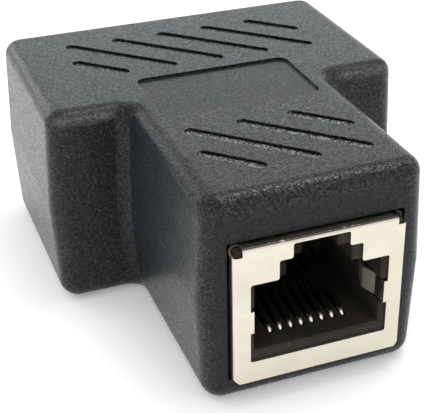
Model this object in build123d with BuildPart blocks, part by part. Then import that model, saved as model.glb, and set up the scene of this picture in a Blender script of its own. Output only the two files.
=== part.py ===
# Three-socket network splitter: a T-shaped moulded housing with one shielded socket in its stem
# and two side by side in the back of its wing, joined inside by a small circuit board.
#
# Frame: millimetres, +Z up, origin on the bottom face under the middle of the splitter.
# The stem and its socket point to -Y, the two wing sockets open to +Y.
# A socket is drawn once in its own frame: origin at the bottom middle of its face,
# X to the right, Y into the housing and Z up. Its pieces are then set in the three seats.
from build123d import *
import math
import os

os.makedirs("parts", exist_ok=True)

# Socket shell, folded from plated sheet
sheet = 0.25                # thickness of the sheet
jack_width = 16.0           # outside width of the shell
jack_height = 13.7          # outside height of the shell
shell_bend = 0.5            # radius of the long folds along the top
face_bend = 0.4             # radius where the face is folded back to the top and sides
foot_chamfer = 0.5          # cut corners at the foot of the face
relief_width = 0.85         # notch that frees the folds at each top corner of the face
relief_height = 0.75
relief_length = 1.05
aperture_floor = 2.1        # lower edge of the opening in the face
aperture_width = 12.92
shoulder_drop = 3.65        # from the top of the shell to where the opening narrows
key_opening_width = 7.73
key_opening_drop = 1.8
latch_opening_width = 5.25
aperture_corner = 0.22      # radius in the corners of the opening

# Grounding fingers, bent in from both sides of the opening
finger_low = 5.15
finger_height = 2.2
finger_step = 0.33          # how far the root stands into the opening
finger_reach = 4.6          # from the face to the tip
finger_ridge = 3.0          # from the face to the ridge that touches the plug
finger_press = 0.62         # how far the ridge leans in from the root
finger_lean = 0.1           # how far its middle and its tip lean in
finger_bend = 0.15          # bends, to the middle of the sheet
finger_tab = 0.5            # length of the root that lies in the face
finger_room = 0.15          # free room round a finger in the wall of the socket body

# Plastic socket body and its plug cavity
fit = 0.05                  # clearance between pieces that are pushed together
plug_width = 11.9
plug_floor = 3.0
plug_depth = 12.3           # from the front of the body to the back wall of the cavity
key_width = 6.1
key_depth = 10.0
latch_width = 3.3
latch_drop = 0.75           # from the top of the shell to the roof over the latch
latch_lip = 1.4             # thickness of the two lips that hold the latch
back_wall = 1.4
mouth_chamfer = 0.2
peg_diameter = 3.2          # two pegs that stand in the circuit board
peg_spacing = 11.43
peg_setback = 8.9           # from the face of the shell
peg_length = 1.9
top_window_start = 6.9      # the shell's top is open behind this line, for pegs and contact legs

# Contacts, bent from round wire
contact_count = 8
contact_pitch = 1.016
wire_diameter = 0.45
wire_level = 1.4            # middle of the run along the bottom
nose_radius = 0.85          # bend behind the mouth, where the spring turns back
nose_front = 2.65           # middle of the wire at the nose, from the face
heel_radius = 0.6           # bend from the run into the leg
spring_angle = 22.0         # rise of the spring, in degrees
nose_straight = 0.03        # short straight between the two bends of the nose
comb_room = 0.075           # free room on each side of a wire in the comb
comb_roof = 0.1             # from the top of a tip's groove to the roof of the cavity
rim_bar = 2.0               # thickness of the bar in front of the comb
tip_groove = 0.7            # depth of the groove in the back wall for a spring's tip

# Contact carrier, pushed into the body from behind
carrier_width = 10.4
leg_row_spacing = 2.54
carrier_edge = 0.53         # plastic in front of and behind the two rows of legs

# Circuit board
board_thickness = 1.2
board_edge = 0.9            # plastic between the board and the outside of the housing
board_room = 0.1
leg_tail = 0.8              # how far legs come through the board
leg_hole = 0.8
peg_hole_room = 0.05
lug_width = 1.6             # shell lugs that stand in the board
lug_setback = 12.4
lug_tail = 0.6
lug_room = 0.15

# Moulded housing
jack_room = 0.2             # clearance beside and above each socket shell
jack_stand = 0.95           # how far a socket stands out of the housing
floor_wall = 2.5
roof_wall = 2.5
stem_wall = 2.55            # at the parting line
wing_wall = 1.85            # at the parting line
jack_gap = 1.0              # between the two wing sockets
housing_length = 42.2       # from the stem's face to the back of the wing
wing_depth = 21.9           # from the back of the wing to its front
draft = 2.45                # degrees, both ways from the parting line
corner_radius = 1.8         # upright outer corners
inner_corner_radius = 1.5   # upright corners between stem and wing
top_edge_radius = 1.5
bottom_edge_radius = 1.8

# Label panel and grip slots in the top
panel_length = 15.9
panel_width = 9.4
panel_depth = 0.25
panel_corner = 1.0
slot_pitch = 5.0
slot_reach = 4.15           # half the run of a slot, between its round ends, measured along X
slot_width = 1.2
slot_depth = 0.22
wing_slots = 6
stem_slots = 4
wing_slots_inset = 9.75     # from the back face to the middle row of the wing slots
stem_slots_inset = 8.7      # from the front face to the middle row of the stem slots

# Sizes that follow from those above
shoulder_height = jack_height - shoulder_drop
key_opening_top = jack_height - key_opening_drop
latch_top = jack_height - latch_drop
body_front = sheet + fit                       # front of the socket body, behind the face
cavity_end = body_front + plug_depth
carrier_start = cavity_end + back_wall + fit
carrier_depth = leg_row_spacing + 2 * carrier_edge
jack_depth = carrier_start + carrier_depth + fit + sheet
body_low = sheet + fit
body_high = jack_height - sheet - fit
wire_low = wire_level - wire_diameter / 2
wire_high = wire_level + wire_diameter / 2
tongue_high = wire_low - fit
comb_width = wire_diameter + 2 * comb_room
comb_start = body_front + rim_bar
leg_rows = (carrier_start + carrier_edge, carrier_start + carrier_edge + leg_row_spacing)
leg_top = jack_height + board_thickness + leg_tail

stem_width = jack_width + 2 * stem_wall
wing_width = 2 * jack_width + jack_gap + 2 * wing_wall
housing_height = floor_wall + jack_height + board_thickness + leg_tail + roof_wall - board_room
parting_height = housing_height / 2
board_level = floor_wall + jack_height

front_face = -housing_length / 2
back_face = housing_length / 2
wing_front = back_face - wing_depth
wing_jack_x = (jack_width + jack_gap) / 2

# Where the sockets sit: middle of the face across and along, and turn about the vertical
rear_angle = 180            # the wing sockets look backwards
jack_seats = {
    "front": (0, front_face - jack_stand, 0),
    "left": (-wing_jack_x, back_face + jack_stand, rear_angle),
    "right": (wing_jack_x, back_face + jack_stand, rear_angle),
}


def seat_of(place, height=0.0):
    """Location of a socket's own frame, at a height above the bottom of the housing."""
    x, y, angle = jack_seats[place]
    return Location((x, y, height), (0, 0, angle))


def contact_x(number):
    """Sideways place of a contact, counted from 0 at the left of the socket's face."""
    return (number - (contact_count - 1) / 2) * contact_pitch


def save(piece, name):
    """Label a finished piece and write it as its own file."""
    piece.label = name
    export_step(piece, f"parts/{name}.step")


# Socket shell: a folded box with a stepped opening, bend reliefs, grounding fingers and board lugs
finger_root = aperture_width / 2 - finger_step
finger_line = finger_root + sheet / 2


def shell_section(inset):
    """Outline of the shell seen from the front, made smaller by an inset all round."""
    with BuildSketch() as section:
        with Locations((0, jack_height / 2)):
            Rectangle(jack_width, jack_height)
        fillet(section.vertices().group_by(Axis.Y)[-1], shell_bend)
        chamfer(section.vertices().group_by(Axis.Y)[0], foot_chamfer)
        if inset > 0:
            offset(amount=-inset, kind=Kind.INTERSECTION, mode=Mode.REPLACE)
    return section.sketch


with BuildPart() as shield:
    with BuildSketch(Plane.XZ):
        add(shell_section(0))
    extrude(amount=-jack_depth)
    face_edges = shield.faces().sort_by(Axis.Y)[0].outer_wire().edges()
    fillet(face_edges.filter_by(lambda edge: edge.center().Z > 2 * foot_chamfer), face_bend)
    with BuildSketch(Plane.XZ.offset(-sheet)):
        add(shell_section(sheet))
    extrude(amount=-(jack_depth - 2 * sheet), mode=Mode.SUBTRACT)

    # Stepped opening in the face, less the two finger roots
    with BuildSketch(Plane.XZ) as opening:
        with Locations((0, aperture_floor)):
            Rectangle(aperture_width, shoulder_height - aperture_floor, align=(Align.CENTER, Align.MIN))
            Rectangle(key_opening_width, key_opening_top - aperture_floor,
                      align=(Align.CENTER, Align.MIN))
            Rectangle(latch_opening_width, jack_height - face_bend - aperture_floor,
                      align=(Align.CENTER, Align.MIN))
        fillet(opening.vertices(), aperture_corner)
        with Locations((0, finger_low + finger_height / 2)):
            with GridLocations(aperture_width - finger_step, 0, 2, 1):
                Rectangle(finger_step, finger_height, mode=Mode.SUBTRACT)
    extrude(amount=-2 * sheet, mode=Mode.SUBTRACT)

    # Notches at both top corners, where three folds would meet
    with BuildSketch(Plane.XY.offset(jack_height - relief_height)):
        with Locations((0, relief_length / 2)):
            with GridLocations(jack_width - relief_width, 0, 2, 1):
                Rectangle(relief_width, relief_length)
    extrude(amount=relief_height, mode=Mode.SUBTRACT)

    # Window in the top for the pegs and the contact legs
    with BuildSketch(Plane.XY.offset(jack_height - sheet)):
        with Locations((0, top_window_start)):
            Rectangle(jack_width - 2 * shell_bend, jack_depth - sheet - top_window_start,
                      align=(Align.CENTER, Align.MIN))
    extrude(amount=sheet, mode=Mode.SUBTRACT)

    # Grounding fingers: one bowed strip on the right, mirrored to the left
    with BuildSketch(Plane.XY.offset(finger_low)) as finger:
        with BuildLine():
            FilletPolyline(
                (finger_line + finger_tab, sheet / 2),
                (finger_line, sheet / 2),
                (finger_line - finger_lean, finger_ridge / 2),
                (finger_line - finger_press, finger_ridge),
                (finger_line - finger_lean, finger_reach),
                radius=finger_bend,
            )
        trace(line_width=sheet)
        mirror(about=Plane.YZ)
    extrude(amount=finger_height)

    # Lugs on the two sides
    with BuildSketch(Plane.XY.offset(jack_height - shell_bend)):
        with Locations((0, lug_setback)):
            with GridLocations(jack_width - sheet, 0, 2, 1):
                Rectangle(sheet, lug_width)
    extrude(amount=shell_bend + board_thickness + lug_tail)


# Socket body: black plastic with the plug cavity, keyway, comb and pegs
with BuildPart() as socket:
    with BuildSketch(Plane.XZ.offset(-body_front)):
        add(shell_section(sheet + fit))
    extrude(amount=-(jack_depth - sheet - fit - body_front))

    # Mouth: plug opening, keyway and the narrow notch between the latch lips
    with BuildSketch(Plane.XZ.offset(-body_front)):
        with Locations((0, plug_floor)):
            Rectangle(plug_width, shoulder_height - plug_floor, align=(Align.CENTER, Align.MIN))
            Rectangle(key_width, key_opening_top - plug_floor, align=(Align.CENTER, Align.MIN))
            Rectangle(latch_width, latch_top - plug_floor, align=(Align.CENTER, Align.MIN))
    extrude(amount=-latch_lip, mode=Mode.SUBTRACT)
    mouth_edges = socket.faces().sort_by(Axis.Y)[0].inner_wires()[0].edges()
    chamfer(mouth_edges, mouth_chamfer)

    # Room behind the lips for the hook of the latch, and the plug cavity itself
    with BuildSketch(Plane.XZ.offset(-(body_front + latch_lip))):
        with Locations((0, plug_floor)):
            Rectangle(key_width, latch_top - plug_floor, align=(Align.CENTER, Align.MIN))
    extrude(amount=-(key_depth - latch_lip), mode=Mode.SUBTRACT)
    with BuildSketch(Plane.XZ.offset(-(body_front + latch_lip))):
        with Locations((0, plug_floor)):
            Rectangle(plug_width, shoulder_height - plug_floor, align=(Align.CENTER, Align.MIN))
    extrude(amount=-(plug_depth - latch_lip), mode=Mode.SUBTRACT)

    # Windows in both walls where the grounding fingers lie
    with BuildSketch(Plane.XZ.offset(-body_front)):
        with Locations((0, finger_low + finger_height / 2)):
            Rectangle(2 * (finger_line + sheet), finger_height + 2 * finger_room)
    extrude(amount=-(finger_reach - body_front + 2 * finger_room), mode=Mode.SUBTRACT)

    # Comb: a slot for each spring through the floor, and a groove for its tip in the back wall
    with BuildSketch(Plane.XY.offset(plug_floor)):
        with Locations((0, comb_start)):
            with GridLocations(contact_pitch, 0, contact_count, 1):
                Rectangle(comb_width, cavity_end + tip_groove - comb_start,
                          align=(Align.CENTER, Align.MIN))
    extrude(amount=-(plug_floor - tongue_high), mode=Mode.SUBTRACT)
    with BuildSketch(Plane.XY.offset(plug_floor)):
        with Locations((0, cavity_end)):
            with GridLocations(contact_pitch, 0, contact_count, 1):
                Rectangle(comb_width, tip_groove, align=(Align.CENTER, Align.MIN))
    extrude(amount=shoulder_height - comb_roof - plug_floor, mode=Mode.SUBTRACT)

    # Channel under the floor for the tongue of the carrier, and the pocket for its block
    with BuildSketch(Plane.XY.offset(body_low)):
        with Locations((0, comb_start + nose_radius)):
            Rectangle(contact_count * contact_pitch + 2 * fit,
                      carrier_start - comb_start, align=(Align.CENTER, Align.MIN))
    extrude(amount=wire_high + fit - body_low, mode=Mode.SUBTRACT)
    with BuildSketch(Plane.XY.offset(body_low)):
        with Locations((0, carrier_start - fit)):
            Rectangle(carrier_width + 2 * fit, jack_depth, align=(Align.CENTER, Align.MIN))
    extrude(amount=jack_height, mode=Mode.SUBTRACT)

    # Pegs
    with BuildSketch(Plane.XY.offset(body_high)):
        with Locations((0, peg_setback)):
            with GridLocations(peg_spacing, 0, 2, 1):
                Circle(peg_diameter / 2)
    extrude(amount=peg_length)


def contact_line(row):
    """Middle line of a contact on the current line: leg, heel, run, nose and rising spring."""
    half_turn = math.radians(90 - spring_angle) / 2
    nose_top = wire_level + nose_radius * (1 + math.tan(half_turn)) + nose_straight
    tip_y = cavity_end + tip_groove / 2
    tip_z = nose_top + (tip_y - nose_front) * math.tan(math.radians(spring_angle))
    FilletPolyline(
        (leg_rows[row], leg_top),
        (leg_rows[row], wire_level),
        (nose_front, wire_level),
        (nose_front, nose_top),
        (tip_y, tip_z),
        radius=[heel_radius, nose_radius, nose_radius],
    )


# Contact carrier: an L of black plastic that holds the eight legs and backs their runs
with BuildPart() as carrier:
    with BuildSketch(Plane.XY.offset(tongue_high)):
        with Locations((0, carrier_start)):
            Rectangle(carrier_width, carrier_depth, align=(Align.CENTER, Align.MIN))
    extrude(amount=body_high - tongue_high)
    for number in range(contact_count):
        room = wire_diameter + 2 * fit
        with BuildSketch(Plane.YZ.offset(contact_x(number) - room / 2)):
            with BuildLine():
                contact_line(number % 2)
            trace(line_width=room)
        extrude(amount=room, mode=Mode.SUBTRACT)
    with BuildSketch(Plane.XY.offset(body_low)):
        with Locations((0, comb_start + nose_radius + fit)):
            Rectangle(contact_count * contact_pitch,
                      carrier_start + carrier_depth - comb_start - nose_radius - fit,
                      align=(Align.CENTER, Align.MIN))
        with Locations((0, carrier_start)):
            Rectangle(carrier_width, carrier_depth, align=(Align.CENTER, Align.MIN))
    extrude(amount=tongue_high - body_low)


# Circuit board: a T that lies on the three sockets and joins their contacts one to one
def lean_at(height):
    """How far a side of the housing leans in at a height, from the parting line."""
    return abs(height - parting_height) * math.tan(math.radians(draft))


def board_outline(inset):
    """T-shaped outline of the board, made smaller by an inset all round."""
    edge = board_edge + inset
    side = edge + lean_at(board_level + board_thickness)
    with BuildSketch() as outline:
        with Locations((0, front_face + edge)):
            Rectangle(stem_width - 2 * side, housing_length - 2 * edge, align=(Align.CENTER, Align.MIN))
        with Locations((0, back_face - edge)):
            Rectangle(wing_width - 2 * side, wing_depth - 2 * edge, align=(Align.CENTER, Align.MAX))
        outer = outline.vertices().filter_by(
            lambda corner: corner.Y < wing_front or abs(corner.X) > stem_width / 2)
        fillet(outer, corner_radius)
    return outline.sketch


with BuildPart() as board:
    with BuildSketch(Plane.XY.offset(board_level)):
        add(board_outline(0))
    extrude(amount=board_thickness)
    with BuildSketch(Plane.XY.offset(board_level)):
        for place in jack_seats:
            with Locations(seat_of(place)):
                for number in range(contact_count):
                    with Locations((contact_x(number), leg_rows[number % 2])):
                        Circle(leg_hole / 2)
                with Locations((0, peg_setback)):
                    with GridLocations(peg_spacing, 0, 2, 1):
                        Circle(peg_diameter / 2 + peg_hole_room)
                with Locations((0, lug_setback)):
                    with GridLocations(jack_width - sheet, 0, 2, 1):
                        Rectangle(sheet + 2 * lug_room, lug_width + 2 * lug_room)
    extrude(amount=board_thickness, mode=Mode.SUBTRACT)


# Housing: a T with draft both ways from the parting line, all its edges rounded
def drafted_bar(width):
    """Upper half of a drafted bar seen from the front, on the current sketch."""
    lean = lean_at(housing_height)
    Polygon(
        (-width / 2, parting_height), (width / 2, parting_height),
        (width / 2 - lean, housing_height), (lean - width / 2, housing_height),
        align=None,
    )


def slot_group(count):
    """A row of slanted slots on the current sketch; the first and last are half as long."""
    run = 2 * slot_reach * math.sqrt(2)
    overall = run + slot_width
    for number in range(count):
        x = (number - (count - 1) / 2) * slot_pitch
        side = (number == 0) - (number == count - 1)
        along = side * overall / 4 / math.sqrt(2)
        with Locations((x + along, -along)):
            SlotOverall(overall / (1 + abs(side)), slot_width, rotation=-45)


with BuildPart() as housing:
    with BuildSketch(Plane.XZ.offset(-back_face)):
        drafted_bar(stem_width)
    extrude(amount=housing_length)
    with BuildSketch(Plane.XZ.offset(-back_face)):
        drafted_bar(wing_width)
    extrude(amount=wing_depth)

    # Upright corners: the two inner ones beside the stem, then the outer ones
    upright = housing.edges().filter_by(lambda edge: abs((edge % 0.5).Z) > 0.9)
    inner = upright.filter_by(lambda edge: abs(edge.center().Y - wing_front) < corner_radius
                              and abs(edge.center().X) < stem_width / 2)
    outer = upright.filter_by(lambda edge: edge not in inner)
    fillet(inner, inner_corner_radius)
    fillet(outer, corner_radius)
    mirror(about=Plane.XY.offset(parting_height))
    fillet(housing.faces().sort_by(Axis.Z)[-1].outer_wire().edges(), top_edge_radius)
    fillet(housing.faces().sort_by(Axis.Z)[0].outer_wire().edges(), bottom_edge_radius)

    # Pockets for the sockets
    for place in jack_seats:
        with BuildSketch(Plane.XY.offset(floor_wall)):
            with Locations(seat_of(place)):
                Rectangle(jack_width + 2 * jack_room, jack_depth + jack_room,
                          align=(Align.CENTER, Align.MIN))
        extrude(amount=jack_height + jack_room, mode=Mode.SUBTRACT)

    # Room for the circuit board and for the legs that come through it
    with BuildSketch(Plane.XY.offset(board_level)):
        add(board_outline(-board_room))
    extrude(amount=board_thickness + leg_tail + board_room, mode=Mode.SUBTRACT)

    # Label panel and grip slots
    with BuildSketch(Plane.XY.offset(housing_height)):
        RectangleRounded(panel_length, panel_width, panel_corner)
    extrude(amount=-panel_depth, mode=Mode.SUBTRACT)
    with BuildSketch(Plane.XY.offset(housing_height)):
        with Locations((0, back_face - wing_slots_inset)):
            slot_group(wing_slots)
        with Locations((0, front_face + stem_slots_inset)):
            slot_group(stem_slots)
    extrude(amount=-slot_depth, mode=Mode.SUBTRACT)


# The finished pieces, each in its place
save(housing.part, "housing")
save(board.part, "circuit_board")
for place in jack_seats:
    seat = seat_of(place, floor_wall)
    save(seat * shield.part, f"{place}_shield")
    save(seat * socket.part, f"{place}_socket")
    save(seat * carrier.part, f"{place}_contact_carrier")
    for number in range(contact_count):
        with BuildPart() as contact:
            with BuildLine(Plane.YZ.offset(contact_x(number))) as path:
                contact_line(number % 2)
            with BuildSketch(Plane(origin=path.wire() @ 0, z_dir=path.wire() % 0)):
                Circle(wire_diameter / 2)
            sweep()
        save(seat * contact.part, f"{place}_contact_{number + 1}")
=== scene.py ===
# %% [markdown]
# # A network splitter, dressed for its picture
# The splitter's shapes come finished from its solid model: one moulded housing and, in it, three
# shielded sockets with their contacts. What is left for Blender is what the eye reads as material:
# the sand-like grain of the black plastic, the plated sheet of the sockets, the bright contacts.
# Finishes could be laid on as pictures, but patterns that come from nodes stay sharp at any
# distance and need no unwrapping. This lesson sets a camera, builds the finishes from nodes, and
# then adds a floor, a bright world and lamps.

# %% Load the model
import math

import bmesh
import bpy
from mathutils import Matrix, Vector

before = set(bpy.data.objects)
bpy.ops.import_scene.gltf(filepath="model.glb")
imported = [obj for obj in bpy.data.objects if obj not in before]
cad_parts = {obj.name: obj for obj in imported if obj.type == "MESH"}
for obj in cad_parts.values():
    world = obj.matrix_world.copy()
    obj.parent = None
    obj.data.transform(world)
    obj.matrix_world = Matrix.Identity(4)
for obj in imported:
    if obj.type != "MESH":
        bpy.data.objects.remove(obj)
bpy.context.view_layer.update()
print("pieces in the model:", len(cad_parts))

# %% [markdown]
# ## The camera
# The camera looks down on the splitter from the front and a little to the left, as the photograph
# does. It could be set by trial and error, but every error in it shifts all the edges a little.
# So its place was worked out from straight edges whose real sizes are known, above all those of
# the front socket. A camera is a point, three directions and a lens, so the three directions
# go into a matrix, one column each, and need no angles at all.

# %% Camera
MM = 0.001
IMAGE_WIDTH = 424
FOCAL_PIXELS = 1106.3
AXIS_PIXEL = 236.0
SENSOR_MM = 36.0
NEAR_LIMIT, FAR_LIMIT = 0.005, 20.0

camera_right = Vector((0.93199333, -0.36238512, -0.00809088))
camera_down = Vector((-0.18673371, -0.46087698, -0.86759607))
camera_forward = Vector((0.31067501, 0.81010458, -0.49720379))
camera_place = Vector((-34.765, -92.628, 63.724)) * MM

camera_data = bpy.data.cameras.new("camera")
camera_data.sensor_fit = "HORIZONTAL"
camera_data.sensor_width = SENSOR_MM
camera_data.lens = FOCAL_PIXELS * SENSOR_MM / IMAGE_WIDTH
camera_data.shift_x = (IMAGE_WIDTH / 2 - AXIS_PIXEL) / IMAGE_WIDTH
camera_data.clip_start = NEAR_LIMIT
camera_data.clip_end = FAR_LIMIT
camera = bpy.data.objects.new("camera", camera_data)
turn = Matrix((camera_right, -camera_down, -camera_forward)).transposed().to_4x4()
camera.matrix_world = Matrix.Translation(camera_place) @ turn
bpy.context.scene.collection.objects.link(camera)
bpy.context.scene.camera = camera
print("lens, mm:", round(camera_data.lens, 1))

# %% [markdown]
# ## Small helpers for node trees
# A material is a graph of nodes. It could be drawn by hand in the editor, or written out socket
# by socket, which gets long. Here one helper adds a node and fills its sockets, where a value
# that is itself a socket becomes a link. That way a finish reads like a recipe.

# %% Adding nodes
def fill_sockets(tree, node, values):
    """Gives a node's inputs their values, and links those that come from another node."""
    for name, value in values.items():
        if isinstance(value, bpy.types.NodeSocket):
            tree.links.new(value, node.inputs[name])
        else:
            node.inputs[name].default_value = value
    return node


def add_node(tree, kind, values=None, **options):
    """Adds a node, sets its options and fills its sockets."""
    node = tree.nodes.new("ShaderNode" + kind)
    for name, option in options.items():
        setattr(node, name, option)
    return fill_sockets(tree, node, values or {})


def place_on(tree):
    """Where a point lies on its piece, in metres."""
    return add_node(tree, "TexCoord").outputs["Object"]


def axes_of(tree, vector):
    """The X, Y and Z of a vector."""
    return add_node(tree, "SeparateXYZ", {"Vector": vector}).outputs


print("helpers ready for nodes")

# %% [markdown]
# ## Sums on a surface
# Masks are numbers from 0 to 1 that change over the surface, and they are joined by sums: a
# product keeps what both masks cover, and a ramp turns any measure, such as a height, into a
# mask. A colour ramp could do that too, but Map Range says its limits in plain numbers.

# %% Sums and ramps
def maths(tree, operation, *values):
    """One step of arithmetic between sockets and numbers."""
    return add_node(tree, "Math", dict(enumerate(values)), operation=operation).outputs[0]


def product(tree, first, *others):
    """Multiplies sockets and numbers, one after the other."""
    for other in others:
        first = maths(tree, "MULTIPLY", first, other)
    return first


def total(tree, first, second):
    """Adds two sockets or numbers."""
    return maths(tree, "ADD", first, second)


def ramp(tree, value, low, high, to_low=0.0, to_high=1.0, smooth=False):
    """Maps low..high to to_low..to_high and holds it there."""
    limits = {"Value": value, "From Min": low, "From Max": high,
              "To Min": to_low, "To Max": to_high}
    kind = "SMOOTHSTEP" if smooth else "LINEAR"
    return add_node(tree, "MapRange", limits, interpolation_type=kind, clamp=True).outputs[0]


print("helpers ready for sums")

# %% [markdown]
# ## Grain
# The mould of the housing was spark-eroded, which leaves craters of all sizes round about two
# tenths of a millimetre. They could be modelled, but there are tens of thousands of them, so
# they are a pattern that only tilts the light. Noise in two sizes gives the rolling of the
# surface and small cells give the single craters. Every cell also draws a random number of its
# own: a few catch the light and most don't, which makes the surface sparkle instead of looking
# like leather. Lengths are in metres on Object coordinates, so a scale of 5000 is one wave to a
# fifth of a millimetre. Two plastics use the pattern, so it is a node group: built once, and
# placed in each material with its own values.

# %% Group helpers
def new_group(name, inputs, outputs):
    """Starts a node group and returns its tree and its inner ends, the inputs and the outputs."""
    tree = bpy.data.node_groups.new(name, "ShaderNodeTree")
    for label, kind, start in inputs:
        socket = tree.interface.new_socket(
            name=label, in_out="INPUT", socket_type="NodeSocket" + kind)
        socket.default_value = start
    for label, kind in outputs:
        tree.interface.new_socket(name=label, in_out="OUTPUT", socket_type="NodeSocket" + kind)
    return tree, tree.nodes.new("NodeGroupInput").outputs, tree.nodes.new("NodeGroupOutput").inputs


def use_group(tree, group, values):
    """Places a group with its own values and returns its outputs."""
    return add_node(tree, "Group", values, node_tree=group).outputs


def lot_of(tree, cells):
    """The random number from 0 to 1 that each cell has drawn."""
    return add_node(tree, "SeparateColor", {"Color": cells["Color"]}).outputs[0]


print("helpers ready for groups")

# %% Grain group
COARSE_TO_FINE = 0.4
ROLLING_SHARE = 0.6
CRATER_SHALLOW, CRATER_DEEP = 0.2, 0.9
PIT_FLOOR, PIT_RIM = 0.55, 1.15
SPARKLE_RARITY = 3.0

GRAIN, grain_in, grain_out = new_group(
    "grain",
    [("Scale", "Float", 5000.0), ("Sharpness", "Float", 0.6)],
    [("Height", "Float"), ("Pits", "Float"), ("Sparkle", "Float")],
)
place = place_on(GRAIN)
coarse_scale = product(GRAIN, grain_in["Scale"], COARSE_TO_FINE)
coarse = add_node(GRAIN, "TexNoise", {
    "Vector": place, "Scale": coarse_scale,
    "Detail": 1.0, "Roughness": grain_in["Sharpness"]}).outputs["Fac"]
fine = add_node(GRAIN, "TexNoise", {
    "Vector": place, "Scale": grain_in["Scale"],
    "Detail": 2.0, "Roughness": grain_in["Sharpness"]}).outputs["Fac"]
cells = add_node(GRAIN, "TexVoronoi", {"Vector": place, "Scale": grain_in["Scale"]}).outputs
lot = lot_of(GRAIN, cells)
crater = product(GRAIN, cells["Distance"], ramp(GRAIN, lot, 0.0, 1.0, CRATER_SHALLOW, CRATER_DEEP))
rolling = total(GRAIN, product(GRAIN, coarse, ROLLING_SHARE), product(GRAIN, fine, ROLLING_SHARE))
height = total(GRAIN, rolling, crater)
GRAIN.links.new(height, grain_out["Height"])
GRAIN.links.new(ramp(GRAIN, height, PIT_FLOOR, PIT_RIM), grain_out["Pits"])
GRAIN.links.new(maths(GRAIN, "POWER", lot, SPARKLE_RARITY), grain_out["Sparkle"])
print("group made:", GRAIN.name)

# %% [markdown]
# ## Handling
# No surface is equally clean all over. Fingers leave broad dull patches, and dust settles in
# sparse specks on what faces up. Specks could be scattered as tiny pieces, but as a pattern they
# cost nothing: a few cells are chosen by their random number, and only their middles show.
# One group gives patches and specks as masks for every material that needs them.

# %% Handling group
PATCH_CLEAN, PATCH_DULL = 0.35, 0.68
SPECK_RIM, SPECK_CORE = 0.28, 0.12
SIDEWAYS, UPWARD = -0.1, 0.6

HANDLING, handling_in, handling_out = new_group(
    "handling",
    [("Patch Scale", "Float", 180.0), ("Speck Scale", "Float", 900.0),
     ("Speck Amount", "Float", 0.05)],
    [("Patches", "Float"), ("Specks", "Float")],
)
place = place_on(HANDLING)
patches = add_node(HANDLING, "TexNoise", {
    "Vector": place, "Scale": handling_in["Patch Scale"],
    "Detail": 4.0, "Roughness": 0.55, "Distortion": 0.4}).outputs["Fac"]
cells = add_node(HANDLING, "TexVoronoi", {
    "Vector": place, "Scale": handling_in["Speck Scale"]}).outputs
chosen = maths(HANDLING, "LESS_THAN", lot_of(HANDLING, cells), handling_in["Speck Amount"])
near = ramp(HANDLING, cells["Distance"], SPECK_RIM, SPECK_CORE)
normal = add_node(HANDLING, "NewGeometry").outputs["Normal"]
facing_up = ramp(HANDLING, axes_of(HANDLING, normal)["Z"], SIDEWAYS, UPWARD)
HANDLING.links.new(ramp(HANDLING, patches, PATCH_CLEAN, PATCH_DULL), handling_out["Patches"])
HANDLING.links.new(product(HANDLING, chosen, near, facing_up), handling_out["Specks"])
print("group made:", HANDLING.name)

# %% [markdown]
# ## Marks that belong to one place
# Some marks sit at one spot: a painted highlight on an edge, a polished panel, a scratch, a
# painted dark reflection on a fold. They could be painted by hand on an unwrapped surface. A box
# with a soft border needs no unwrapping, and its two corners can be read off a drawing. On each
# axis the point's distance from the middle of the box is set against half the box's length, and
# the three axes are multiplied. Every box has its own numbers and sits in one material only, so
# this is a helper like the ramp, not a group.

# %% Box mask helper
def box_mask(tree, low, high, soft):
    """1 inside a box given in millimetres, 0 outside, with a soft border."""
    sides = []
    for axis, start, end in zip(axes_of(tree, place_on(tree)), low, high):
        middle, half = (start + end) / 2, (end - start) / 2
        away = maths(tree, "ABSOLUTE", maths(tree, "SUBTRACT", axis, middle * MM))
        sides.append(ramp(tree, away, (half + soft / 2) * MM, (half - soft / 2) * MM))
    return product(tree, *sides)


print("helper ready for boxes")

# %% [markdown]
# ## Black moulded plastic
# The housing is a soft black with a touch of blue, nearly as dark as coal. What makes it look grey
# in the picture is gloss: at a flat angle even rough plastic mirrors the bright surroundings.
# A lighter colour would give the same grey from one side only, so the colour stays dark and the
# gloss does the work. First come the masks of the places that differ from the rest. The label
# panel and the face round the socket were polished finer in the mould. The front edge of the top
# and the brow of the wing get a painted highlight, the stem's left shoulder has lost some of its
# skin, and one short scratch runs along the stem's left side.

# %% Material helpers
def new_material(name):
    """A material with its Principled shader, ready for links."""
    material = bpy.data.materials.new(name)
    material.use_nodes = True
    tree = material.node_tree
    return material, tree, tree.nodes["Principled BSDF"]


def blend_colour(tree, amount, first, second, mode="MIX"):
    """Mixes two colours."""
    values = {0: amount, 6: first, 7: second}
    return add_node(tree, "Mix", values, data_type="RGBA", blend_type=mode).outputs[2]


def bump_of(tree, height, depth, strength):
    """A normal that is tilted by a height; the depth is in metres."""
    values = {"Height": height, "Distance": depth, "Strength": strength}
    return add_node(tree, "Bump", values).outputs[0]


print("helpers ready for materials")

# %% Housing masks
PANEL_POLISH, FACE_POLISH, POLISHED_SPARKLE = 0.45, 0.8, 0.1
HOUSING_BOXES = {  # low corner, high corner and soft border, in millimetres
    "panel": ((-7.8, -4.6, 20.1), (7.8, 4.6, 20.45), 0.1),
    "face": ((-9.5, -21.6, 1.2), (9.5, -20.5, 19.0), 1.2),
    "edge": ((-8.5, -20.8, 20.2), (9.0, -20.2, 20.6), 0.3),
    "brow": ((-17.8, -1.4, 18.0), (17.8, -0.1, 20.2), 0.6),
    "shoulder": ((-10.8, -20.0, 18.4), (-8.8, -0.4, 20.8), 0.8),
    "scratch": ((-10.8, -11.5, 11.0), (-10.2, -9.7, 11.12), 0.08),
    "wing_slots": ((-15.0, 6.0, 20.3), (15.0, 17.0, 20.5), 0.05),
    "stem_slots": ((-9.0, -17.2, 20.3), (9.0, -6.0, 20.5), 0.05),
}

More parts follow.
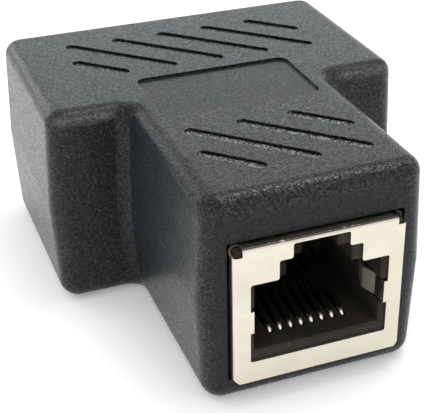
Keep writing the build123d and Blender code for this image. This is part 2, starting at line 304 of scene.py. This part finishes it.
housing_plastic, tree, shader = new_material("housing_plastic")
grain = use_group(tree, GRAIN, {"Scale": 7200.0, "Sharpness": 0.6})
handling = use_group(tree, HANDLING, {
    "Patch Scale": 150.0, "Speck Scale": 1100.0, "Speck Amount": 0.03})
masks = {name: box_mask(tree, *box) for name, box in HOUSING_BOXES.items()}
polish = maths(tree, "MAXIMUM", product(tree, masks["panel"], PANEL_POLISH),
               product(tree, masks["face"], FACE_POLISH))
sparkle = product(tree, grain["Sparkle"], ramp(tree, polish, 0.0, 1.0, 1.0, POLISHED_SPARKLE))
print("housing masks:", ", ".join(masks))

# %% [markdown]
# ## Grip slots
# The slots are cut in the solid, but they are so shallow that their look is mostly tone: the
# floors are coarse and get painted glints, and the strip under the back wall gets painted shade.
# Light alone leaves that strip pale, because the wall over it is so low, so two masks paint the
# glints and the shade onto the plastic. The slots run at 45 degrees, one every 5 mm, so the sum
# of x and y tells how far across a slot a point lies, once it is wrapped to one pitch.

# %% Slot masks
SLOT_PITCH, SLOT_HALF = 5.0 * MM, 0.6 * MM
WING_ROW, STEM_ROW = 11.35 * MM, -12.4 * MM
STEM_SHADE_START, WING_SHADE_START, SHADE_END = 0.6, 0.4, 0.85
WING_GLINT_SHARE = 0.4
axes = axes_of(tree, place_on(tree))


def slot_side(row):
    """Where a point lies across its slot, from the front wall at -SLOT_HALF to the back one."""
    along = maths(tree, "SUBTRACT", total(tree, axes["X"], axes["Y"]), row + SLOT_PITCH / 2)
    wrapped = maths(tree, "WRAP", along, SLOT_PITCH / 2, -SLOT_PITCH / 2)
    return maths(tree, "DIVIDE", wrapped, math.sqrt(2))


in_wing, in_stem = masks["wing_slots"], masks["stem_slots"]
slots = total(tree, in_wing, in_stem)
across = total(tree, product(tree, slot_side(WING_ROW), in_wing),
               product(tree, slot_side(STEM_ROW), in_stem))
# Painted shade in the strip under the back wall, and painted glints on the rest of the floor.
shade_start = ramp(tree, in_wing, 0.0, 1.0,
                   STEM_SHADE_START * SLOT_HALF, WING_SHADE_START * SLOT_HALF)
shade = ramp(tree, across, shade_start, SHADE_END * SLOT_HALF, smooth=True)
slot_shade = product(tree, slots, shade)
painted_slot_glints = product(tree, maths(tree, "SUBTRACT", slots, slot_shade), grain["Sparkle"],
                       ramp(tree, in_wing, 0.0, 1.0, 1.0, WING_GLINT_SHARE))
print("slot masks made for a pitch of", round(SLOT_PITCH / MM, 1), "mm")

# %% [markdown]
# ## Colour of the housing
# The colour is built in layers, each mixed over the last by a mask: dark pits and lighter rims,
# the sparkle's painted glints, the slots' painted glints and painted shade, the painted highlights
# on the front edge and the brow, the scratch, and dust on top. A painted highlight that fades in
# smoothly would look airbrushed, so it takes the grain's own pattern and shows on the rims only.

# %% Housing colour
PIT_COLOUR, RIM_COLOUR = (0.0030, 0.0032, 0.0035, 1.0), (0.0075, 0.0080, 0.0088, 1.0)
# Painted glints: lighter sparkle cells, and light glints on the slot floors and the front edge.
PAINTED_SPARKLE_COLOUR, PAINTED_GLINT_COLOUR = (0.048, 0.050, 0.055, 1.0), (0.46, 0.47, 0.49, 1.0)
# Painted shade colour for the slots.
SLOT_SHADE_COLOUR = (0.001, 0.001, 0.001, 1.0)
# The dust colour also paints the highlight on the brow of the wing.
DUST_AND_HIGHLIGHT_COLOUR, SCRATCH_COLOUR = (0.16, 0.165, 0.17, 1.0), (0.22, 0.22, 0.22, 1.0)
EDGE_HIGHLIGHT, SCRATCH_STRENGTH, DUST_STRENGTH = 0.42, 0.55, 0.4
BROW_FOOT, BROW_TOP = 19.0 * MM, 20.0 * MM
BROW_STEM_SIDE, BROW_WING_SIDE = 11.2 * MM, 12.2 * MM
BROW_SPREAD, BROW_HIGHLIGHT = (0.2, 0.8), (0.25, 0.85)  # range of the grain, painted highlight in pits and on rims

# Painted highlight: sparkle cells along the front edge of the top turn light.
painted_edge_highlight = product(tree, masks["edge"], grain["Sparkle"], EDGE_HIGHLIGHT)
# Painted highlight: the brow of the wing grows lighter towards its top edge.
beside_stem = ramp(tree, maths(tree, "ABSOLUTE", axes["X"]), BROW_STEM_SIDE, BROW_WING_SIDE)
painted_brow_highlight = product(tree, masks["brow"], ramp(tree, axes["Z"], BROW_FOOT, BROW_TOP, smooth=True),
                    beside_stem, ramp(tree, grain["Pits"], *BROW_SPREAD, *BROW_HIGHLIGHT))
dusty = product(tree, handling["Specks"],
                ramp(tree, masks["panel"], 0.0, 1.0, DUST_STRENGTH, 0.0))
LAYERS = (
    (sparkle, PAINTED_SPARKLE_COLOUR),
    (painted_slot_glints, PAINTED_GLINT_COLOUR),
    (slot_shade, SLOT_SHADE_COLOUR),
    (painted_edge_highlight, PAINTED_GLINT_COLOUR),
    (painted_brow_highlight, DUST_AND_HIGHLIGHT_COLOUR),
    (product(tree, masks["scratch"], SCRATCH_STRENGTH), SCRATCH_COLOUR),
    (dusty, DUST_AND_HIGHLIGHT_COLOUR),
)
colour = blend_colour(tree, grain["Pits"], PIT_COLOUR, RIM_COLOUR)
for amount, layer_colour in LAYERS:
    colour = blend_colour(tree, amount, colour, layer_colour)
tree.links.new(colour, shader.inputs["Base Color"])
print("colour layers on the housing:", len(LAYERS))

# %% [markdown]
# ## Gloss of the housing
# Moulded plastic has two layers that mirror differently. The plastic itself follows the grain
# with a bump. Over it lies the smooth skin that the melt forms against the mould, and a clear
# coat stands for that. One rough layer could be made as grey, but not from every side at once.
# The coat takes no bump, so it mirrors the floor at flat angles, as the side of the wing shows.
# A low index of refraction keeps it weak from above. The bump, the coat and the sparkle all
# follow the polish of the panel and of the face.

# %% Housing gloss and bump
ROUGH_PLAIN, ROUGH_SPARK, ROUGH_PATCH = 0.50, 0.30, 0.06
PITS_SKIN, RIMS_SKIN = (0.36, 0.50), (1.0, 0.62)  # on the coarse plastic, on the polished one
SKIN_SPREAD, SLOT_SKIN, SHOULDER_SKIN = (0.1, 0.9), 0.1, 0.6
GRAIN_DEPTH, GRAIN_BUMP, POLISHED_BUMP = 0.14 * MM, 1.0, 0.15

rough = total(tree, ramp(tree, sparkle, 0.0, 1.0, ROUGH_PLAIN, ROUGH_SPARK),
              product(tree, handling["Patches"], ROUGH_PATCH))
skin = ramp(tree, grain["Pits"], *SKIN_SPREAD, ramp(tree, polish, 0.0, 1.0, *PITS_SKIN),
            ramp(tree, polish, 0.0, 1.0, *RIMS_SKIN))
skin = product(tree, skin, ramp(tree, slot_shade, 0.0, 1.0, 1.0, SLOT_SKIN),
               ramp(tree, masks["shoulder"], 0.0, 1.0, 1.0, SHOULDER_SKIN))
bump_strength = ramp(tree, polish, 0.0, 1.0, GRAIN_BUMP, POLISHED_BUMP)
fill_sockets(tree, shader, {
    "Roughness": rough,
    "Coat Weight": skin,
    "Coat Roughness": 0.26,
    "Coat IOR": 1.33,
    "Specular IOR Level": 0.10,
    "Sheen Weight": 0.025,
    "Sheen Roughness": 0.5,
    "Sheen Tint": (0.40, 0.76, 0.94, 1.0),
    "Normal": bump_of(tree, grain["Height"], GRAIN_DEPTH, bump_strength),
})
print("finish made:", housing_plastic.name)

# %% [markdown]
# ## Socket plastic
# The bodies inside the shells are a browner, duller black. Plain black would do at first sight,
# but a real one carries faint flow lines and a trace of dust, so it takes the two groups again,
# with finer values. In the front socket the steps on the left of the mouth lie deep in the shade
# of the sheet, so a mask takes nearly all the colour out of them.

# %% Socket plastic
BODY_CLEAN, BODY_DULL = (0.029, 0.026, 0.021, 1.0), (0.043, 0.038, 0.032, 1.0)
LINT_COLOUR, LINT_STRENGTH = (0.2, 0.19, 0.18, 1.0), 0.35
STEPS_BOX = ((-4.2, -22.2, 12.4), (-1.2, -21.1, 15.8), 0.1)
STEPS_COLOUR = (0.003, 0.003, 0.002, 1.0)
BODY_ROUGH = (0.46, 0.60)  # where it is clean, where it is dull
BODY_DEPTH, BODY_BUMP = 0.01 * MM, 0.6

socket_plastic, tree, shader = new_material("socket_plastic")
grain = use_group(tree, GRAIN, {"Scale": 7000.0, "Sharpness": 0.5})
handling = use_group(tree, HANDLING, {
    "Patch Scale": 400.0, "Speck Scale": 2200.0, "Speck Amount": 0.04})
colour = blend_colour(tree, handling["Patches"], BODY_CLEAN, BODY_DULL)
colour = blend_colour(tree, product(tree, handling["Specks"], LINT_STRENGTH), colour, LINT_COLOUR)
colour = blend_colour(tree, box_mask(tree, *STEPS_BOX), colour, STEPS_COLOUR)
fill_sockets(tree, shader, {
    "Base Color": colour,
    "Roughness": ramp(tree, handling["Patches"], 0.0, 1.0, *BODY_ROUGH),
    "Specular IOR Level": 0.12,
    "Normal": bump_of(tree, grain["Height"], BODY_DEPTH, BODY_BUMP),
})
print("finish made:", socket_plastic.name)

# %% [markdown]
# ## Drawn lines
# Sheet that was rolled and wire that was drawn through a die carry fine lines along the metal.
# A picture of brushed metal would show its repeats, so the lines are a noise that is stretched:
# a small scale along the metal and a large one across it. Shells and contacts both need them,
# so they are a group.

# %% Drawn lines group
DRAWN_LINES, lines_in, lines_out = new_group(
    "drawn_lines",
    [("Stretch", "Vector", (1000.0, 1000.0, 1000.0)), ("Detail", "Float", 2.0),
     ("Roughness", "Float", 0.5)],
    [("Lines", "Float")],
)
stretched = add_node(DRAWN_LINES, "Mapping", {
    "Vector": place_on(DRAWN_LINES), "Scale": lines_in["Stretch"]}).outputs[0]
noise = add_node(DRAWN_LINES, "TexNoise", {
    "Vector": stretched, "Scale": 1.0,
    "Detail": lines_in["Detail"], "Roughness": lines_in["Roughness"]})
DRAWN_LINES.links.new(noise.outputs["Fac"], lines_out["Lines"])
LINE_SPREAD = (0.3, 0.7)  # the range in which nearly all of the noise lies
print("group made:", DRAWN_LINES.name)

# %% [markdown]
# ## Plated sheet
# The shells are punched and folded from sheet with a bright, slightly warm plating, which varies
# a little in tone. A metal has no colour of its own apart from what it mirrors, so the colour
# here is its tint. One even tint would look like new chrome, so masks made from the place on the
# shell change it. On the fold above the face the tint is nearly black, a painted reflection of the
# black housing, and in the notch at its right it is painted shade; light flecks on both are
# painted glints. Just behind the face the tint is darker, a painted shade, and deeper in, at the
# tips of the fingers, the sheet is rubbed matt.

# %% Sheet masks
NOTCH_BOX = ((6.9, -21.6, 15.2), (8.4, -19.6, 16.4), 0.2)
FOLD_HEIGHT = (16.03 * MM, 16.11 * MM)
FOLD_REACH = (21.60 * MM, 21.72 * MM)
BEHIND_REACH = (21.6 * MM, 21.2 * MM)
DEEP_REACH = (20.8 * MM, 20.4 * MM)

plated_sheet, tree, shader = new_material("plated_sheet")
lines = use_group(tree, DRAWN_LINES, {
    "Stretch": (260.0, 9000.0, 9000.0), "Detail": 4.0, "Roughness": 0.6})["Lines"]
handling = use_group(tree, HANDLING, {
    "Patch Scale": 260.0, "Speck Scale": 2500.0, "Speck Amount": 0.04})
place = place_on(tree)
axes = axes_of(tree, place)
reach = maths(tree, "ABSOLUTE", axes["Y"])
# Painted dark reflection on the fold and painted shade in the notch.
fold = product(tree, ramp(tree, axes["Z"], *FOLD_HEIGHT, smooth=True),
               ramp(tree, reach, *FOLD_REACH))
painted_dark_place = maths(tree, "MAXIMUM", fold, box_mask(tree, *NOTCH_BOX))
deep = ramp(tree, reach, *DEEP_REACH)
behind = product(tree, ramp(tree, reach, *BEHIND_REACH), ramp(tree, deep, 0.0, 1.0, 1.0, 0.0))
print("sheet masks made: fold, notch, deep, behind")

# %% Sheet colour and gloss
SHEET_BRIGHT, SHEET_WARM = (0.735, 0.695, 0.585, 1.0), (0.68, 0.64, 0.53, 1.0)
LINE_TINT, LINE_TINT_SPREAD, LINE_STRENGTH = (0.60, 0.565, 0.49, 1.0), (0.35, 0.7), 0.12
PAINTED_DARK_TINT, PAINTED_GLINT_TINT = (0.060, 0.052, 0.048, 1.0), (0.42, 0.40, 0.43, 1.0)
GLINT_FLECK_SPREAD = (0.60, 0.72)
BEHIND_SHADE_TINT = (0.60, 0.60, 0.62, 1.0)
SHEET_ROUGH, PATCH_ROUGH, DEEP_ROUGH = (0.24, 0.32), 0.06, 0.18
ROLLED_DEPTH, ROLLED_BUMP = 0.004 * MM, 0.5

# Painted glints: light flecks on the dark fold and notch.
glint_flecks = add_node(tree, "TexNoise", {
    "Vector": place, "Scale": 900.0, "Detail": 3.0, "Roughness": 0.6}).outputs["Fac"]
painted_dark_colour = blend_colour(tree, ramp(tree, glint_flecks, *GLINT_FLECK_SPREAD), PAINTED_DARK_TINT, PAINTED_GLINT_TINT)
tint = blend_colour(tree, handling["Patches"], SHEET_BRIGHT, SHEET_WARM)
line_amount = product(tree, ramp(tree, lines, *LINE_TINT_SPREAD), LINE_STRENGTH)
tint = blend_colour(tree, line_amount, tint, LINE_TINT)
tint = blend_colour(tree, painted_dark_place, tint, painted_dark_colour)
# Painted shade: the tint is darker just behind the face.
tint = blend_colour(tree, behind, tint, BEHIND_SHADE_TINT, mode="MULTIPLY")
rough = total(tree, ramp(tree, lines, *LINE_SPREAD, *SHEET_ROUGH),
              product(tree, handling["Patches"], PATCH_ROUGH))
rough = total(tree, rough, product(tree, deep, DEEP_ROUGH))
fill_sockets(tree, shader, {
    "Base Color": tint,
    "Metallic": 1.0,
    "Roughness": rough,
    "Normal": bump_of(tree, lines, ROLLED_DEPTH, ROLLED_BUMP),
})
print("finish made:", plated_sheet.name)

# %% [markdown]
# ## Contacts
# Contacts are bronze wire plated with nickel and a thin flash of gold. They are drawn through
# dies, so they are smoother than the sheet, with fine lines along the wire. Only the bends at the
# front are bright; behind them the springs get a nearly black tint, a painted shade, and more
# roughness. A second material for the springs would need a cut in each wire, so a mask over the
# height tells bends and springs apart.

# %% Contacts
NOSE_TOP, SPRING_FOOT = 5.6 * MM, 5.8 * MM
WIRE_BRIGHT, WIRE_WARM = (0.93, 0.90, 0.84, 1.0), (0.88, 0.84, 0.74, 1.0)
SPRING_SHADE_COLOUR = (0.02, 0.018, 0.015, 1.0)
WIRE_ROUGH, SPRING_ROUGH = (0.15, 0.21), 0.5
WIRE_DEPTH, WIRE_BUMP = 0.003 * MM, 0.4

plated_contact, tree, shader = new_material("plated_contact")
lines = use_group(tree, DRAWN_LINES, {
    "Stretch": (20000.0, 900.0, 900.0), "Detail": 2.0, "Roughness": 0.5})["Lines"]
# Painted shade: above the bends the springs turn nearly black.
spring = ramp(tree, axes_of(tree, place_on(tree))["Z"], NOSE_TOP, SPRING_FOOT, smooth=True)
tint = blend_colour(tree, ramp(tree, lines, *LINE_SPREAD), WIRE_BRIGHT, WIRE_WARM)
rough = total(tree, ramp(tree, lines, *LINE_SPREAD, *WIRE_ROUGH),
              product(tree, spring, SPRING_ROUGH))
fill_sockets(tree, shader, {
    "Base Color": blend_colour(tree, spring, tint, SPRING_SHADE_COLOUR),
    "Metallic": 1.0,
    "Roughness": rough,
    "Normal": bump_of(tree, lines, WIRE_DEPTH, WIRE_BUMP),
})
print("finish made:", plated_contact.name)

# %% [markdown]
# ## Circuit board
# The board is hidden in the housing, but it is part of the model, so it gets its lacquer: a green
# glass-fibre laminate with a weave that shows faintly through. The threads could be a picture of
# cloth; two wave patterns that cross do the same, and the higher thread wins at each point.

# %% Board lacquer
THREADS = {"Scale": 320.0, "Distortion": 0.6}
LACQUER_DARK, LACQUER_LIGHT = (0.008, 0.060, 0.025, 1.0), (0.012, 0.095, 0.04, 1.0)
LACQUER_ROUGH = (0.34, 0.26)
WEAVE_DEPTH, WEAVE_BUMP = 0.01 * MM, 0.3

board_lacquer, tree, shader = new_material("board_lacquer")
place = place_on(tree)
threads = [add_node(tree, "TexWave", {"Vector": place, **THREADS}, bands_direction=way)
           for way in ("X", "Y")]
weave = maths(tree, "MAXIMUM", *(thread.outputs["Fac"] for thread in threads))
fill_sockets(tree, shader, {
    "Base Color": blend_colour(tree, weave, LACQUER_DARK, LACQUER_LIGHT),
    "Roughness": ramp(tree, weave, 0.0, 1.0, *LACQUER_ROUGH),
    "Normal": bump_of(tree, weave, WEAVE_DEPTH, WEAVE_BUMP),
})
print("finish made:", board_lacquer.name)

# %% [markdown]
# ## Dressing the pieces
# Each piece could be picked by hand, but there are 35 of them, 24 of which are contacts. Their
# names say what each one is, so one short table gives each kind its finish.

# %% Assign the finishes
FINISHES = (
    ("housing", housing_plastic),
    ("circuit_board", board_lacquer),
    ("shield", plated_sheet),
    ("socket", socket_plastic),
    ("carrier", socket_plastic),
    ("contact", plated_contact),
)


def finish_of(name):
    """The first finish whose word is in the name; 'carrier' comes before 'contact'."""
    return next(material for word, material in FINISHES if word in name)


for name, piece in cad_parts.items():
    for slot in piece.material_slots:
        slot.material = finish_of(name)
print("pieces dressed:", len(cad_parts))

# %% [markdown]
# ## Floor
# The splitter lies on a white sweep, and the picture was exposed so that this white is nearly
# blank. More lamps would blank it too, but they would also bleach the plastic. So the floor is a
# real surface that takes the soft shadow, and to the eye, and in reflections, it glows a
# little. That lifts the shadow to the photograph's light grey and sends no light to the splitter.

# %% Floor
FLOOR_HALF = 3.0
FLOOR_GLOW, NO_GLOW = (0.20, 0.20, 0.20, 1.0), (0.0, 0.0, 0.0, 1.0)
floor_mesh = bpy.data.meshes.new("floor")
shape = bmesh.new()
bmesh.ops.create_grid(shape, x_segments=1, y_segments=1, size=FLOOR_HALF)
shape.to_mesh(floor_mesh)
shape.free()
floor = bpy.data.objects.new("floor", floor_mesh)
bpy.context.scene.collection.objects.link(floor)


def seen_rays(tree):
    """1 for rays that come from the camera, off a glossy surface or through glass."""
    rays = add_node(tree, "LightPath").outputs
    mirrored = maths(tree, "MAXIMUM", rays["Is Glossy Ray"], rays["Is Transmission Ray"])
    return maths(tree, "MAXIMUM", rays["Is Camera Ray"], mirrored)


floor_paper, tree, shader = new_material("floor_paper")
fill_sockets(tree, shader, {
    "Base Color": (0.97, 0.97, 0.975, 1.0),
    "Roughness": 0.9,
    "Specular IOR Level": 0.1,
    "Emission Strength": 1.0,
    "Emission Color": blend_colour(tree, seen_rays(tree), NO_GLOW, FLOOR_GLOW),
})
floor_mesh.materials.append(floor_paper)
print("floor laid, half a side in metres:", FLOOR_HALF)

# %% [markdown]
# ## World
# Behind the floor is plain white, and most of the light comes from there, as in a light tent.
# A picture of a studio would put its windows into every gloss, so the world is one even white.
# The camera and the reflections see it at a strength of 1, which is white, while the light that
# it casts can be set on its own. Here that is a little weaker.

# %% World
WORLD_LIGHT, WORLD_SEEN = 0.95, 1.0
world = bpy.data.worlds.new("studio")
bpy.context.scene.world = world
world.use_nodes = True
tree = world.node_tree
fill_sockets(tree, tree.nodes["Background"], {
    "Strength": ramp(tree, seen_rays(tree), 0.0, 1.0, WORLD_LIGHT, WORLD_SEEN),
    "Color": (1.0, 1.0, 1.0, 1.0),
})
print("world light:", WORLD_LIGHT)

# %% [markdown]
# ## Lamps
# The lamps are softboxes. A bare bulb would throw a hard shadow and a sharp spot on the metal.
# One softbox hangs above and gives the top its grey sheen and its sparkle. Two weaker ones stand
# low behind the splitter, where the top would mirror them, and lift it a little more. A lamp is
# given by its brightness as seen, because that stays the same when its size changes, and its
# power follows from that and its area.

# %% Lamps
AIM = (0.0, 0.0, 0.01)
SOFTBOXES = (  # name, place, width, height, brightness, colour
    ("back_softbox", (0.17, 0.45, 0.20), 0.50, 0.18, 0.5, (0.85, 0.94, 1.0)),
    ("left_softbox", (-0.24, 0.42, 0.18), 0.30, 0.22, 1.8, (0.93, 0.97, 1.0)),
    ("top_softbox", (0.08, 0.02, 0.36), 0.16, 0.16, 3.8, (1.0, 0.99, 0.97)),
)

for name, place, width, height, brightness, colour in SOFTBOXES:
    data = bpy.data.lights.new(name, "AREA")
    data.shape = "RECTANGLE"
    data.size, data.size_y = width, height
    data.energy = brightness * math.pi * width * height
    data.color = colour
    lamp = bpy.data.objects.new(name, data)
    lamp.location = place
    lamp.rotation_euler = (Vector(AIM) - Vector(place)).to_track_quat("-Z", "Y").to_euler()
    bpy.context.scene.collection.objects.link(lamp)
    print("lamp:", name, "power, W:", round(data.energy, 3))

# %% [markdown]
# A film look would shift every colour that was set above, so colours are shown as they are.

# %% Finish
bpy.context.scene.view_settings.view_transform = "Standard"
